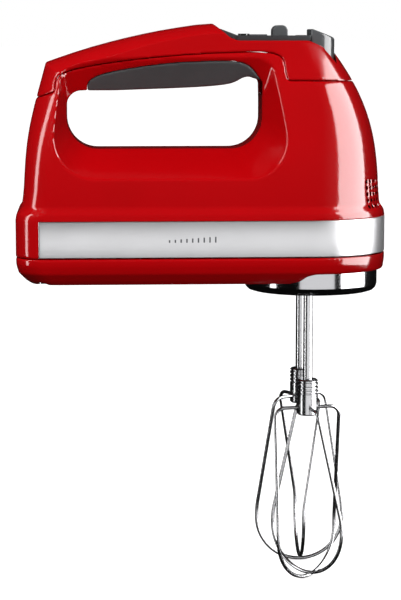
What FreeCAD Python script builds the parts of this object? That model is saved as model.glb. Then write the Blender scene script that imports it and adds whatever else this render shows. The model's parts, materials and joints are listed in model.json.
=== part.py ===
"""A hand mixer as a parametric FreeCAD document, one document object for each separate piece.

The frame: the origin is the centre of the handle's grip, +X points to the nose, +Y to the left side
and +Z up.  Lengths are millimetres.  The motor lies along X in the lower body, its worm turns two worm
wheels, and each wheel's upright spindle carries one beater.
"""
import FreeCAD, Part
import math
import os
import re
import Sketcher

Vec = FreeCAD.Vector
doc = FreeCAD.newDocument("hand_mixer")

# ---------------------------------------------------------------- driving sizes
# Each entry is one cell of the spreadsheet.  Heights that end in _z are measured from the grip centre.
SIZES = {
    # the body as a whole
    "body_length": 204.6, "body_width": 88.0, "body_height": 140.7, "handle_peak_z": 20.7,
    "handle_peak_x": 21.0, "handle_rear_drop": 21.0, "wall": 2.3, "seam_gap": 0.3, "rear_corner": 15.0,
    "base_depth": 15.0, "base_bevel": 8.0, "rear_column": 28.1,
    # the window under the handle and the dished flare round it
    "window_top_z": -15.8, "window_height": 31.6, "window_front_x": 47.6, "window_corner": 8.0,
    "window_floor_corner": 17.0, "tunnel_half_width": 14.0, "flare_floor": 15.5, "flare_rear": 9.2,
    "flare_front": 15.3, "flare_slope": 2.3,
    # the grip let into the handle
    "grip_depth": 16.0, "grip_wall": 3.0, "grip_core": 9.5, "fit_gap": 0.1,
    # the trim band round the body and the collar under the nose
    "band_height": 20.2, "band_thickness": 1.0, "band_rear_inset": 12.5, "collar_radius": 37.0,
    "collar_drop": 7.0, "collar_wall": 2.0, "collar_edge": 4.0, "collar_ahead": 3.4, "nose_lift": 5.6,
    # motor
    "motor_rise": 32.0, "shaft_radius": 3.0, "running_gap": 0.05, "stator_radius": 26.0,
    "stator_bore": 15.2, "stack_length": 24.0, "stack_centre_x": -7.0, "rotor_radius": 14.6,
    "commutator_radius": 8.0, "commutator_length": 10.0, "commutator_x": -42.0, "fan_radius": 22.0,
    "fan_width": 9.0, "fan_x": 21.0, "bracket_thickness": 3.0, "bush_radius": 7.0, "bush_length": 8.0,
    "brush_width": 6.0, "mount_ring_width": 6.0, "mount_ring_thickness": 2.4,
    # worm drive
    "gear_module": 1.0, "worm_starts": 2, "wheel_teeth": 30, "worm_pitch_radius": 5.0,
    "worm_length": 24.0, "wheel_width": 8.0, "backlash": 0.3, "spindle_x": 73.0, "nose_reach": 44.4,
    "spindle_radius": 5.0, "spindle_top_rise": 12.0, "spindle_drop": 28.0, "case_radius": 37.5,
    "case_wall": 1.2, "case_floor_drop": 23.4, "case_lid_rise": 9.0, "lid_thickness": 3.0,
    # beaters
    "stem_radius": 2.7, "stem_length": 107.0, "stem_top_z": -88.0, "hub_radius": 5.8,
    "hub_length": 20.2, "wire_radius": 1.0, "loop_radius": 24.7, "loop_centre_drop": 67.0,
    "shoulder_radius": 18.5, "shoulder_bend": 5.5, "wire_rise": 4.2, "wire_root": 0.7,
    "loop_lean": 34.0, "widest_rise": 6.0, "widest_bend": 30.0,
    # eject and speed controls
    "eject_travel": 8.0, "eject_length": 13.7, "eject_width": 25.0, "eject_rear_x": 74.7,
    "pin_radius": 2.5, "pin_head_radius": 4.0, "panel_z": 11.2, "panel_height": 2.8,
    "panel_rear_x": 34.2, "panel_front_x": 74.0, "panel_half_width": 14.5, "button_gap": 0.4,
    "switch_travel": 4.0, "screw_radius": 1.6,
}
sheet = doc.addObject("Spreadsheet::Sheet", "Sizes")
for row, (alias, number) in enumerate(SIZES.items(), 1):
    sheet.set(f"A{row}", alias)
    sheet.set(f"B{row}", str(number))
    sheet.setAlias(f"B{row}", alias)
doc.recompute()

# Places that follow from the driving sizes, as formulas in the same words.
PLACES = {
    "half_width": "body_width / 2",
    "nose_x": "spindle_x + nose_reach",
    "rear_x": "nose_x - body_length",
    "base_z": "handle_peak_z - body_height",
    "base_seam_z": "base_z + base_depth",
    "band_top_z": "base_seam_z + band_height",
    "collar_bottom_z": "base_z - collar_drop",
    "collar_x": "spindle_x + collar_ahead",
    "motor_z": "base_z + motor_rise",
    "window_rear_x": "rear_x + rear_column",
    "window_floor_z": "window_top_z - window_height",
    "wheel_pitch_radius": "gear_module * wheel_teeth / 2",
    "spindle_y": "worm_pitch_radius + wheel_pitch_radius",
    "spindle_top_z": "motor_z + spindle_top_rise",
    "spindle_bottom_z": "motor_z - spindle_drop",
    "case_floor_z": "motor_z - case_floor_drop",
    "case_top_z": "motor_z + case_lid_rise",
    "lid_top_z": "case_top_z + lid_thickness",
    "stack_rear_x": "stack_centre_x - stack_length / 2",
    "stack_front_x": "stack_centre_x + stack_length / 2",
    "shaft_front_x": "spindle_x + worm_length / 2 + 11",
    "shaft_rear_x": "commutator_x - 12",
    "front_bracket_x": "stack_front_x + 9",
    "rear_bracket_x": "commutator_x - 8",
    "hub_top_z": "stem_top_z - stem_length + hub_length",
    "hub_bottom_z": "stem_top_z - stem_length",
    "pin_top_z": "spindle_top_z + eject_travel + 6",
    "bar_z": "pin_top_z + fit_gap * 3",
    "panel_top_z": "panel_z + panel_height",
}
WORDS = re.compile(r"[a-z][a-z_]+")


def formula(text):
    """The text with every size written as a cell of the sheet, ready for setExpression."""
    def spell(match):
        word = match.group(0)
        if word in PLACES:
            return "(" + WORDS.sub(spell, PLACES[word]) + ")"
        return "Sizes." + word if word in SIZES else word
    return WORDS.sub(spell, str(text))


def size(text):
    """The present value of a formula, in millimetres."""
    return float(sheet.evalExpression(formula(text)))


# ---------------------------------------------------------------- helpers for PartDesign bodies
NODES = []


def keep(node):
    """Count an object as one of the mixer's pieces."""
    NODES.append(node)
    return node


def start_body(label, x="0", y="0", z="0"):
    """A body whose Placement follows the sheet."""
    body = doc.addObject("PartDesign::Body", label)
    body.Label = label
    for letter, text in zip("xyz", (x, y, z)):
        if str(text) != "0":
            body.setExpression(f"Placement.Base.{letter}", formula(text))
    return keep(body)


def origin_plane(body, role):
    return next(item for item in body.Origin.OriginFeatures if item.Role == role)


def sketch_on(body, name, role, *loops):
    """A sketch of closed loops: a list of (u, v) corners, or one (u, v, radius) circle each."""
    sketch = body.newObject("Sketcher::SketchObject", name)
    sketch.AttachmentSupport = [(origin_plane(body, role), "")]
    sketch.MapMode = "FlatFace"

    def hold(kind, item, point, text):
        at = sketch.addConstraint(Sketcher.Constraint(kind, -1, 1, item, point, size(text)))
        sketch.setExpression(f"Constraints[{at}]", formula(text))

    for loop in loops:
        if isinstance(loop, tuple):
            u, v, radius = loop
            centre = Vec(size(u), size(v), 0)
            item = sketch.addGeometry(Part.Circle(centre, Vec(0, 0, 1), size(radius)), False)
            hold("DistanceX", item, 3, u)
            hold("DistanceY", item, 3, v)
            at = sketch.addConstraint(Sketcher.Constraint("Radius", item, size(radius)))
            sketch.setExpression(f"Constraints[{at}]", formula(radius))
            continue
        corners = [Vec(size(u), size(v), 0) for u, v in loop]
        first = sketch.GeometryCount
        count = len(loop)
        for i, corner in enumerate(corners):
            sketch.addGeometry(Part.LineSegment(corner, corners[(i + 1) % count]), False)
        for i in range(count):
            following = first + (i + 1) % count
            sketch.addConstraint(Sketcher.Constraint("Coincident", first + i, 2, following, 1))
        for i, (u, v) in enumerate(loop):
            hold("DistanceX", first + i, 1, u)
            hold("DistanceY", first + i, 1, v)
    return sketch


def turned(label, outline, axis="Z", x="0", y="0", z="0"):
    """A lathe part.  Round Z the corners are (radius, height); round X they are (station, radius)."""
    body = start_body(label, x, y, z)
    sketch = sketch_on(body, label + "_outline", "XZ_Plane", outline)
    turn = body.newObject("PartDesign::Revolution", label + "_turn")
    turn.Profile = sketch
    turn.ReferenceAxis = (sketch, ["V_Axis" if axis == "Z" else "H_Axis"])
    turn.Angle = 360
    return body


def ring_outline(inner, outer, low, high, axis="Z"):
    """The four corners of a plain ring's section."""
    corners = [(inner, low), (outer, low), (outer, high), (inner, high)]
    return corners if axis == "Z" else [(across, along) for along, across in corners]


def padded(body, name, role, length, *loops, middle=False):
    """Pad the loops by a length that follows the sheet, from the plane or equally to both sides."""
    sketch = sketch_on(body, name + "_outline", role, *loops)
    pad = body.newObject("PartDesign::Pad", name)
    pad.Profile = sketch
    if middle:
        pad.SideType = "Symmetric"
    pad.setExpression("Length", formula(length))
    return pad


def pocketed(body, name, role, length, *loops, middle=False, reverse=False):
    """Cut the loops out of the body."""
    sketch = sketch_on(body, name + "_outline", role, *loops)
    pocket = body.newObject("PartDesign::Pocket", name)
    pocket.Profile = sketch
    pocket.Reversed = reverse
    if middle:
        pocket.SideType = "Symmetric"
    pocket.setExpression("Length", formula(length))
    return pocket


def box_corners(u_low, u_high, v_low, v_high):
    return [(u_low, v_low), (u_high, v_low), (u_high, v_high), (u_low, v_high)]


def shaped(label, shape):
    """A piece whose free form is worked out by code from the sheet's sizes."""
    node = doc.addObject("Part::Feature", label)
    node.Label = label
    node.Shape = shape
    node.Placement = shape.Placement
    return keep(node)


# ---------------------------------------------------------------- the outer skin of the housing
HALF = size("half_width")
NOSE_X = size("nose_x")
REAR_X = size("rear_x")
BASE_Z = size("base_z")
SEAM_Z = size("base_seam_z")
BAND_TOP_Z = size("band_top_z")
PEAK_Z = size("handle_peak_z")
PEAK_X = size("handle_peak_x")
WALL = size("wall")
GAP = size("seam_gap")
FAR = 400.0

# How far the skin lies inside the skirt: share of the shell's height, rear, nose and side insets.
SKIN = [(0.066, 3.2, 3.0, 2.2), (0.22, 4.9, 4.1, 4.4), (0.44, 7.2, 7.4, 9.5), (0.63, 11.8, 14.5, 15.5),
        (0.80, 16.7, 25.0, 21.5), (1.02, 24.0, 44.0, 27.0)]


def plan_wire(z, rear, nose, side, corner):
    """One level section of the body: a flat rear with round corners and a round nose."""
    half = HALF - side
    back, front = REAR_X + rear, NOSE_X - nose - half
    corner = min(corner, 0.8 * half)
    diagonal = corner * (1 - math.sqrt(0.5))
    left, right = half, -half
    points = {
        "rear_right": Vec(back, right + corner, z), "side_right": Vec(back + corner, right, z),
        "nose_right": Vec(front, right, z), "tip": Vec(NOSE_X - nose, 0, z),
        "nose_left": Vec(front, left, z), "side_left": Vec(back + corner, left, z),
        "rear_left": Vec(back, left - corner, z),
        "turn_right": Vec(back + diagonal, right + diagonal, z),
        "turn_left": Vec(back + diagonal, left - diagonal, z),
    }
    p = points
    edges = [
        Part.LineSegment(p["rear_left"], p["rear_right"]),
        Part.Arc(p["rear_right"], p["turn_right"], p["side_right"]),
        Part.LineSegment(p["side_right"], p["nose_right"]),
        Part.Arc(p["nose_right"], p["tip"], p["nose_left"]),
        Part.LineSegment(p["nose_left"], p["side_left"]),
        Part.Arc(p["side_left"], p["turn_left"], p["rear_left"]),
    ]
    return Part.Wire([edge.toShape() for edge in edges])


def upper_skin(inset):
    """The closed form above the skirt, `inset` inside the outer skin."""
    rise = PEAK_Z - BAND_TOP_Z
    corner = size("rear_corner")
    wires = []
    for share, rear, nose, side in SKIN:
        wires.append(plan_wire(BAND_TOP_Z + share * rise, rear + inset, nose + inset, side + inset,
                               corner + share * 6 - inset))
    return Part.makeLoft(wires, True, False)


def skirt_skin(inset, low):
    """The form between the waist above the band and a level below it."""
    rise = PEAK_Z - BAND_TOP_Z
    share, rear, nose, side = SKIN[0]
    waist = BAND_TOP_Z + share * rise
    corner = size("rear_corner") - inset
    lip = BAND_TOP_Z + 0.45 * (waist - BAND_TOP_Z)
    wires = [plan_wire(waist, rear + inset, nose + inset, side + inset, corner + share * 6),
             plan_wire(lip, 0.5 + inset, 0.5 + inset, 0.5 + inset, corner),
             plan_wire(BAND_TOP_Z, inset, inset, inset, corner)]
    flare = Part.makeLoft(wires, True, True)
    straight = Part.Face(plan_wire(low, inset, inset, inset, corner)).extrude(Vec(0, 0, BAND_TOP_Z - low))
    return flare.fuse(straight).removeSplitter()


CROWN_SECTIONS = 26


def crown(inset):
    """A long arch whose ridge is the top line of the handle and nose."""
    drop = size("handle_rear_drop")
    rear = REAR_X + 16.6
    run = PEAK_X - rear
    half, rise = HALF * 0.72, 22.0
    line = [(rear - 0.33 * run, -1.53 * drop), (rear + 0.05 * run, -0.92 * drop),
            (rear + 0.30 * run, -0.57 * drop), (rear + 0.60 * run, -0.25 * drop),
            (rear + 0.85 * run, -0.067 * drop), (PEAK_X, 0.3), (PEAK_X + 22, -1.4),
            (PEAK_X + 40, -2.2), (PEAK_X + 52, -3.2), (PEAK_X + 63, -8.7), (PEAK_X + 74, -16.2),
            (PEAK_X + 89, -28.7), (PEAK_X + 104, -43.0)]
    ridge = Part.BSplineCurve()
    ridge.buildFromPoles([Vec(x, 0, PEAK_Z + below - inset) for x, below in line], False, 2)
    wires = []
    for spot in ridge.discretize(Number=CROWN_SECTIONS):
        x, top = spot.x, spot.z
        springs = [Vec(x, half, top - rise), Vec(x, -half, top - rise)]
        elbows = [Vec(x, 2 * half, top - 3 * rise), Vec(x, -2 * half, top - 3 * rise)]
        feet = [Vec(x, 2 * half, BASE_Z - 60), Vec(x, -2 * half, BASE_Z - 60)]
        arch = Part.Arc(springs[0], Vec(x, 0, top), springs[1])
        lines = [Part.LineSegment(feet[0], elbows[0]), Part.LineSegment(elbows[0], springs[0]), arch,
                 Part.LineSegment(springs[1], elbows[1]), Part.LineSegment(elbows[1], feet[1]),
                 Part.LineSegment(feet[1], feet[0])]
        wires.append(Part.Wire([line.toShape() for line in lines]))
    return Part.makeLoft(wires, True, True)


def side_prism(points, half_depth=FAR):
    """A polygon in the side view, pushed through the body to both sides."""
    corners = [Vec(x, -half_depth, z) for x, z in points]
    return Part.Face(Part.makePolygon(corners + corners[:1])).extrude(Vec(0, 2 * half_depth, 0))


def smooth_prism(border, closing, half_depth=FAR):
    """A side view inside a smooth border, drawn by its control points, and straight closing lines."""
    poles = [Vec(x, -half_depth, z) for x, z in border]
    curve = Part.BSplineCurve()
    curve.buildFromPoles(poles, False, 2)
    corners = [poles[-1]] + [Vec(x, -half_depth, z) for x, z in closing] + [poles[0]]
    wire = Part.Wire([curve.toShape()] + Part.makePolygon(corners).Edges)
    return Part.Face(wire).extrude(Vec(0, 2 * half_depth, 0))


def box(x_low, x_high, y_low, y_high, z_low, z_high):
    return Part.makeBox(x_high - x_low, y_high - y_low, z_high - z_low, Vec(x_low, y_low, z_low))


def rod(radius, start, length, direction=Vec(0, 0, 1)):
    return Part.makeCylinder(radius, length, start, direction)


def rounded_wire(y, x_low, x_high, z_low, z_high, floor_corner, top_corner):
    """A rounded rectangle in the side view at depth y, with its own floor and top corner radii."""
    bend = 1 - math.sqrt(0.5)
    f, t = floor_corner, top_corner
    spots = [(x_low, z_high - t), (x_low, z_low + f), (x_low + f * bend, z_low + f * bend),
             (x_low + f, z_low), (x_high - f, z_low), (x_high - f * bend, z_low + f * bend),
             (x_high, z_low + f), (x_high, z_high - t), (x_high - t * bend, z_high - t * bend),
             (x_high - t, z_high), (x_low + t, z_high), (x_low + t * bend, z_high - t * bend)]
    p = [Vec(x, y, z) for x, z in spots]
    edges = [Part.LineSegment(p[0], p[1]), Part.Arc(p[1], p[2], p[3]), Part.LineSegment(p[3], p[4]),
             Part.Arc(p[4], p[5], p[6]), Part.LineSegment(p[6], p[7]), Part.Arc(p[7], p[8], p[9]),
             Part.LineSegment(p[9], p[10]), Part.Arc(p[10], p[11], p[0])]
    return Part.Wire([edge.toShape() for edge in edges])


FLARE_LIP, FLARE_CORNER, FLARE_PAST = 4, 7, 12
LINER_SHARE = 0.66


def window_void(inset):
    """The hand's window with the flare that opens towards both sides, grown by `inset`."""
    x_low, x_high = size("window_rear_x") - inset, size("window_front_x") + inset
    z_low, z_high = size("window_floor_z") - inset, size("window_top_z") + inset
    inner, outer = size("tunnel_half_width") - LINER_SHARE * inset, HALF - FLARE_LIP
    spread = outer - inner
    floor_corner = size("window_floor_corner") + inset
    top_corner = size("window_corner") + inset
    near = rounded_wire(inner, x_low, x_high, z_low, z_high, floor_corner, top_corner)
    wide = rounded_wire(outer, x_low - size("flare_rear"), x_high + size("flare_front"),
                        z_low - size("flare_floor"), z_high + size("flare_slope") * spread,
                        floor_corner + FLARE_CORNER, top_corner + FLARE_CORNER)
    past = wide.copy()
    past.translate(Vec(0, FLARE_PAST, 0))
    flare = Part.makeLoft([near, wide, past], True, True)
    void = Part.Face(near).extrude(Vec(0, -inner, 0)).fuse(flare)
    return void.fuse(void.mirror(Vec(0, 0, 0), Vec(0, 1, 0))).removeSplitter()


def outer_form(inset, low):
    """The whole closed red form down to a level `low`, `inset` inside its skin."""
    panel_z = size("panel_z") - inset
    top_cut = side_prism([(PEAK_X - 1, PEAK_Z + 30), (PEAK_X, PEAK_Z - inset),
                          (PEAK_X + 9, panel_z + 1.6), (size("panel_rear_x") - 0.2, panel_z),
                          (size("panel_front_x") - 1, panel_z), (size("eject_rear_x") + 14, 4.9 - inset),
                          (size("eject_rear_x") + 60, -14 - inset),
                          (size("eject_rear_x") + 60, PEAK_Z + 30)])
    upper = upper_skin(inset).common(crown(inset)).cut(top_cut)
    return upper.fuse(skirt_skin(inset, low)).removeSplitter()


def seam_prism(shift):
    """Everything above the seam between the top cover and the motor housing, moved by `shift`."""
    rear = size("window_rear_x")
    front = size("window_front_x")
    line = [(REAR_X - 20, -30.2), (rear - 8.2, -16.8), (rear - 6.3, -16.0), (rear - 6.2, -9.6),
            (rear - 1.5, -5.6), (rear + 10, -2.6), (rear + 33, 0.9), (rear + 66, 4.0),
            (front - 12, 5.1), (front + 2, 5.3), (front + 11, 3.0), (front + 12.2, -6.0),
            (front + 13, -10.2), (front + 15.5, -10.3), (NOSE_X + 20, -10.9)]
    border = [(x, z + shift) for x, z in line]
    return smooth_prism(border, [(NOSE_X + 20, PEAK_Z + 40), (REAR_X - 20, PEAK_Z + 40)])


def band_groove():
    """The shallow recess round the nose and sides that the trim band lies in."""
    corner = size("rear_corner")
    depth = size("band_thickness") + size("fit_gap")
    low, high = SEAM_Z - 1, BAND_TOP_Z
    whole = Part.Face(plan_wire(low, -1, -1, -1, corner)).extrude(Vec(0, 0, high - low))
    core = Part.Face(plan_wire(low, depth, depth, depth, corner)).extrude(Vec(0, 0, high - low))
    start = REAR_X + size("band_rear_inset")
    return whole.cut(core).common(box(start, NOSE_X + 9, -FAR, FAR, low, high))


def grip_zone(grow=0.0):
    """The side view of the soft grip on the underside of the handle, grown at its ends and top."""
    rear, front, top = size("window_rear_x") - grow, size("window_front_x") + grow, size("window_top_z")
    depth = size("grip_depth")
    low = top - 12
    upper = [(rear + 11.6, low), (rear + 11.4, top), (rear + 11.2, top + 0.30 * depth),
             (rear + 18, top + 0.55 * depth), (rear + 32, top + 0.73 * depth),
             (rear + 56, top + 0.94 * depth), (front - 28, top + depth), (front - 14, top + depth),
             (front - 7, top + 0.84 * depth), (front - 2.6, top + 0.50 * depth),
             (front - 0.1, top + 0.26 * depth)]
    border = [(x, z + grow) for x, z in upper]
    return smooth_prism(border, [(front - 0.1, low)])


def under_grip(grow):
    """The air under the grip, whose underside climbs to the front and ends in a finger's notch."""
    rear, front, top = size("window_rear_x"), size("window_front_x"), size("window_top_z")
    low = top - 12
    line = [(rear + 14, top - 0.5), (rear + 30, top + 0.2), (front - 40, top + 1.4),
            (front - 22, top + 2.7), (front - 15, top + 4.2), (front - 10, top + 7.5),
            (front - 5, top + 7.3), (front, top + 4.9)]
    border = [(x, z + grow) for x, z in line]
    return smooth_prism(border, [(front, low), (rear + 14, low)])


VOID = window_void(0.0).fuse(under_grip(0.0)).removeSplitter()
LINER = window_void(WALL)
OUTER = outer_form(0.0, SEAM_Z + GAP / 2)
CAVITY = outer_form(WALL + size("band_thickness"), SEAM_Z - 5).cut(LINER)


# ---------------------------------------------------------------- shells
def upper_shells():
    """The hollow red shell, split along the seam into the top cover and the motor housing."""
    shell = OUTER.cut(CAVITY).cut(VOID)
    core = size("grip_core")
    channel_floor = size("window_top_z") + size("grip_wall") + size("fit_gap")
    rear, front = size("window_rear_x") - 3.4, size("window_front_x") + 1.3
    tongue = box(rear, front, -core + GAP, core - GAP, channel_floor, channel_floor + 40)
    hollow = box(rear - 9, front + 9, -core + WALL, core - WALL, channel_floor + WALL, FAR)
    hollow = hollow.cut(under_grip(size("grip_wall") + size("fit_gap") + WALL))
    tongue = tongue.common(OUTER).cut(hollow).cut(under_grip(size("grip_wall") + size("fit_gap")))
    housing = shell.cut(grip_zone(size("fit_gap"))).fuse(tongue).cut(seam_prism(-GAP))
    housing = housing.cut(band_groove())
    cover = shell.common(seam_prism(0.0))
    return cover, housing


def largest(shape):
    """The biggest solid of a cut, without crumbs."""
    return max(shape.Solids, key=lambda solid: solid.Volume)


def eject_hole():
    """The opening in the top cover that the eject button sinks through."""
    gap = size("button_gap")
    rear, half = size("eject_rear_x") - gap, size("eject_width") / 2 + gap
    return box(rear, rear + size("eject_length") + 2 * gap, -half, half, -20, PEAK_Z + 20)


def panel_hole():
    """The opening under the control panel."""
    half = size("panel_half_width") - 2.5
    return box(size("panel_rear_x") + 0.8, size("panel_front_x") - 3, -half, half, 0, PEAK_Z + 20)


VENT_ROWS = 5
VENT_PITCH = 3.4
VENT_RADIUS = 1.1
VENT_STEP_DEGREES = 5.6
VENT_FIRST_RISE = 5.8


def vent_holes():
    """Rows of small round holes round the nose and across the rear."""
    holes = []
    centre_x = size("spindle_x")
    for row in range(VENT_ROWS):
        z = BAND_TOP_Z + VENT_FIRST_RISE + row * VENT_PITCH
        for column in range(-7, 8):
            angle = math.radians(column * VENT_STEP_DEGREES)
            way = Vec(math.cos(angle), math.sin(angle), 0)
            holes.append(rod(VENT_RADIUS, Vec(centre_x, 0, z) + way * (HALF - 14), 24, way))
        for column in range(-4, 5):
            holes.append(rod(VENT_RADIUS, Vec(REAR_X - 2, column * 4.5, z), 14, Vec(1, 0, 0)))
    return Part.makeCompound(holes)


SCREW_X = [REAR_X + 15, size("stack_front_x") + 22]
SCREW_Y = HALF - 12.0
SCREW_HEAD_RADIUS = 3.0
BOSS_RADIUS = 4.2
BOSS_TOP_Z = SEAM_Z + 22


def screw_spots():
    return [(x, side * SCREW_Y) for x in SCREW_X for side in (-1, 1)]


def bosses():
    """Screw bosses inside the motor housing, each tied to the side wall by a rib."""
    low = SEAM_Z + GAP / 2
    parts = []
    for x, y in screw_spots():
        parts.append(rod(BOSS_RADIUS, Vec(x, y, low), BOSS_TOP_Z - low))
        near, wall = sorted((y, math.copysign(HALF - WALL, y)))
        parts.append(box(x - 1.2, x + 1.2, near, wall, low, BOSS_TOP_Z))
    block = parts[0].multiFuse(parts[1:])
    bores = [rod(size("screw_radius"), Vec(x, y, low - 1), 20) for x, y in screw_spots()]
    return block.cut(Part.makeCompound(bores))


cover_shape, housing_shape = upper_shells()
shaped("top_cover", largest(cover_shape.cut(eject_hole()).cut(panel_hole())))
gland_hole = rod(6.5, Vec(REAR_X - 5, 0, SEAM_Z + size("band_height") / 2), 20, Vec(1, 0, 0))
shaped("motor_housing", largest(housing_shape.fuse(bosses()).cut(gland_hole).cut(vent_holes())))


def base_form(inset):
    """The closed form of the base cover: upright walls and a wide bevel, lifted under the nose."""
    corner = size("rear_corner") - inset
    bevel, depth = size("base_bevel"), size("base_depth")
    levels = [(0.0, 0.0), (0.27, 0.2), (0.56, 0.17 * bevel), (0.85, 0.65 * bevel), (1.0, bevel)]
    wires = []
    for share, side in levels:
        z = SEAM_Z - GAP / 2 - share * (depth - GAP / 2 - inset)
        pull = side + inset
        wires.append(plan_wire(z, pull, pull * 0.5, pull, corner))
    return Part.makeLoft(wires, True, True)


def nose_lift(inset):
    """The space under the nose, where the base cover steps up to the collar."""
    start = size("collar_x") - 0.40 * size("collar_radius")
    low, high = BASE_Z - 9, BASE_Z + size("nose_lift") + inset
    rise = high - BASE_Z
    step = [(start, low), (start, BASE_Z + 0.0), (start + 5, BASE_Z + 0.22 * rise),
            (start + 9, BASE_Z + 0.78 * rise), (start + 14, high), (NOSE_X + 9, high),
            (NOSE_X + 9, low)]
    return side_prism(step)


def base_cover():
    """The tray that closes the body from below, with the motor's cradles and the collar's hole."""
    tray = base_form(0.0).cut(nose_lift(0.0))
    inside = base_form(WALL + size("band_thickness")).cut(nose_lift(WALL))
    top = SEAM_Z - GAP / 2
    lift = Part.Face(plan_wire(top - 1, *[WALL + size("band_thickness")] * 3,
                               size("rear_corner") - WALL)).extrude(Vec(0, 0, 2))
    tray = tray.cut(inside).cut(lift)
    mount_radius = size("stator_radius") + size("mount_ring_thickness") + size("fit_gap")
    cradles = []
    for x in (size("stack_rear_x"), size("stack_front_x") - size("mount_ring_width")):
        rib = box(x, x + size("mount_ring_width"), -0.55 * HALF, 0.55 * HALF, BASE_Z + 1, SEAM_Z + 4)
        cradles.append(rib.cut(rod(mount_radius, Vec(x - 1, 0, size("motor_z")), 40, Vec(1, 0, 0))))
    tray = tray.multiFuse(cradles)
    posts = []
    for x, y in screw_spots():
        posts.append(rod(BOSS_RADIUS, Vec(x, y, BASE_Z + 1), top - BASE_Z - 1))
    tray = tray.multiFuse([post.common(base_form(0.0)) for post in posts])
    holes = [rod(size("screw_radius") + 0.2, Vec(x, y, BASE_Z - 1), 40) for x, y in screw_spots()]
    holes += [rod(SCREW_HEAD_RADIUS + 0.3, Vec(x, y, BASE_Z - 1), 4.0) for x, y in screw_spots()]
    neck = size("collar_radius") - size("collar_wall") + size("fit_gap")
    holes.append(rod(neck, Vec(size("collar_x"), 0, BASE_Z - 20), 60))
    seat = size("collar_radius") + size("fit_gap")
    holes.append(rod(seat, Vec(size("collar_x"), 0, BASE_Z - 20), 20 + size("nose_lift")))
    return largest(tray.cut(Part.makeCompound(holes)))


shaped("base_cover", base_cover())


def trim_band():
    """The metal strip that lies in its groove round both sides and the nose."""
    corner, thick = size("rear_corner"), size("band_thickness")
    low = SEAM_Z + GAP
    high = BAND_TOP_Z - size("fit_gap")
    whole = Part.Face(plan_wire(low, 0, 0, 0, corner)).extrude(Vec(0, 0, high - low))
    core = Part.Face(plan_wire(low, thick, thick, thick, corner)).extrude(Vec(0, 0, high - low))
    start = REAR_X + size("band_rear_inset") + size("fit_gap")
    return whole.cut(core).common(box(start, NOSE_X + 9, -FAR, FAR, low, high))


shaped("trim_band", trim_band())


def handle_grip():
    """The soft grip: a trough under the handle, open at the top round the housing's tongue."""
    core = size("grip_core")
    floor = size("window_top_z") + size("grip_wall")
    rear, front = size("window_rear_x"), size("window_front_x")
    trough = OUTER.cut(VOID).common(grip_zone(0.0))
    tongue = box(rear, front + 9, -core, core, floor, FAR).cut(under_grip(size("grip_wall")))
    return largest(trough.cut(tongue))


shaped("handle_grip", handle_grip())

# the collar: a bright ring under the nose with a floor that the beaters pass through
COLLAR_SEAT_Z = "(base_z + nose_lift)"
collar = turned("beater_collar", [
    ("0", "collar_bottom_z + 1.0"),
    ("collar_radius - collar_edge", "collar_bottom_z + 1.0"),
    ("collar_radius - collar_edge", "collar_bottom_z"),
    ("collar_radius - 0.5 * collar_edge", "collar_bottom_z + 0.15 * collar_edge"),
    ("collar_radius - 0.15 * collar_edge", "collar_bottom_z + 0.5 * collar_edge"),
    ("collar_radius", "collar_bottom_z + collar_edge"),
    ("collar_radius", COLLAR_SEAT_Z + " - fit_gap"),
    ("collar_radius - collar_wall", COLLAR_SEAT_Z + " - fit_gap"),
    ("collar_radius - collar_wall", COLLAR_SEAT_Z + " + 2.4"),
    ("collar_radius - 2 * collar_wall", COLLAR_SEAT_Z + " + 2.4"),
    ("collar_radius - 2 * collar_wall", "collar_bottom_z + 3.0"),
    ("0", "collar_bottom_z + 3.0")], x="collar_x")
doc.recompute()
pocketed(collar, "beater_holes", "XY_Plane", "5 - collar_bottom_z",
         ("spindle_x - collar_x", "spindle_y", "stem_radius + 3.4"),
         ("spindle_x - collar_x", "-spindle_y", "stem_radius + 3.4"))

# the gland that the cord would pass through, in the rear wall
GLAND_Z = "(base_seam_z + band_height / 2)"
turned("cord_gland", [
    ("rear_x", "3.7"), ("rear_x", "6.5"), ("rear_x + wall + band_thickness", "6.5"),
    ("rear_x + wall + band_thickness", "8.5"), ("rear_x + wall + band_thickness + 2.4", "8.5"),
    ("rear_x + wall + band_thickness + 6", "5.5"), ("rear_x + wall + band_thickness + 14", "4.7"),
    ("rear_x + wall + band_thickness + 14", "3.7")], axis="X", z=GLAND_Z)


# ---------------------------------------------------------------- motor
def on_motor_axis(label, outline):
    """A lathe part on the motor's axis; its corners are (station, radius)."""
    return turned(label, outline, axis="X", z="motor_z")


on_motor_axis("motor_shaft", ring_outline("0", "shaft_radius", "shaft_rear_x", "shaft_front_x", "X"))

armature = start_body("armature_core", "stack_rear_x", "0", "motor_z")
padded(armature, "laminations", "YZ_Plane", "stack_length", ("0", "0", "rotor_radius"),
       ("0", "0", "shaft_radius"))
ROTOR_SLOTS = 12
doc.recompute()
slot = pocketed(armature, "rotor_slot", "YZ_Plane", "stack_length",
                box_corners("-1.2", "1.2", "0.62 * rotor_radius", "0.92 * rotor_radius"), reverse=True)


def around(body, feature, count):
    """Repeat a feature round its own sketch's normal."""
    doc.recompute()
    pattern = body.newObject("PartDesign::PolarPattern", feature.Name + "_pattern")
    pattern.Originals = [feature]
    pattern.Axis = (feature.Profile[0], ["N_Axis"])
    pattern.Angle = 360
    pattern.Occurrences = count
    body.Tip = pattern
    doc.recompute()
    return pattern


around(armature, slot, ROTOR_SLOTS)


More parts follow.
